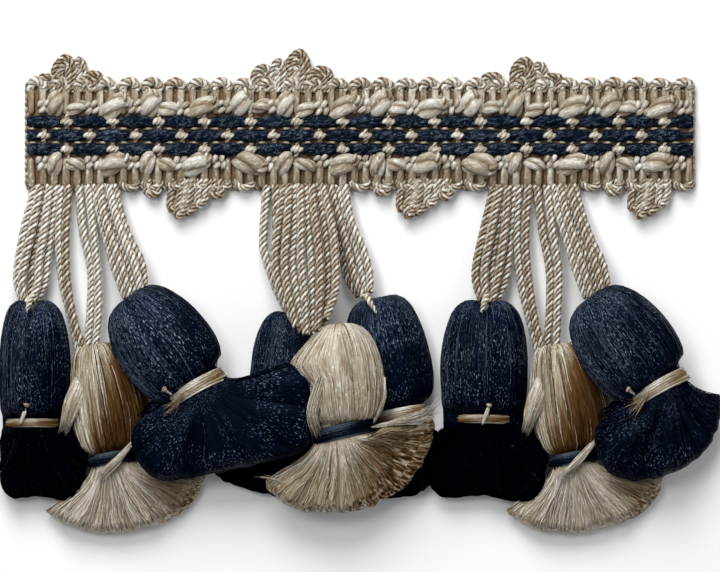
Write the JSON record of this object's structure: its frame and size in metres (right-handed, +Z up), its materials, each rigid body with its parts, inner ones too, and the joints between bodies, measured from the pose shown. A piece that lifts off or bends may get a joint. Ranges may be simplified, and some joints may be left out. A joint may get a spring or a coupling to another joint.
{
  "type": "tassel fringe trim",
  "caption": "Cut length of tassel fringe: a woven braid heading with picot and looped edges, twisted hanger cords, and tied bulb-headed navy and beige tassels with fanned skirts, lying face up.",
  "frame": {"origin": "middle of the heading's flat back, on the surface that the trim lies on", "axes": "+X along the heading, +Y across it away from the tassels, +Z up out of its face"},
  "size_m": [0.1448, 0.0957, 0.018],
  "materials": {
    "beige_yarn": "lustrous twisted yarn",
    "navy_yarn": "lustrous floss yarn"
  },
  "bodies": {
    "root": {"heading": "beige_yarn", "binder_yarns": "beige_yarn", "navy_yarn_upper": "navy_yarn", "navy_yarn_middle": "navy_yarn", "navy_yarn_lower": "navy_yarn", "hangers_left": "beige_yarn", "hangers_middle": "beige_yarn", "hangers_right": "beige_yarn", "tassel_navy_left_1": "navy_yarn", "tie_navy_left_1": "beige_yarn", "tassel_beige_left_2": "beige_yarn", "tie_beige_left_2": "navy_yarn", "tassel_navy_left_3": "navy_yarn", "tie_navy_left_3": "beige_yarn", "tassel_navy_middle_1": "navy_yarn", "tie_navy_middle_1": "beige_yarn", "tassel_beige_middle_2": "beige_yarn", "tie_beige_middle_2": "navy_yarn", "tassel_navy_middle_3": "navy_yarn", "tie_navy_middle_3": "beige_yarn", "tassel_navy_right_1": "navy_yarn", "tie_navy_right_1": "beige_yarn", "tassel_beige_right_2": "beige_yarn", "tie_beige_right_2": "navy_yarn", "tassel_navy_right_3": "navy_yarn", "tie_navy_right_3": "beige_yarn"}
  },
  "joints": []
}
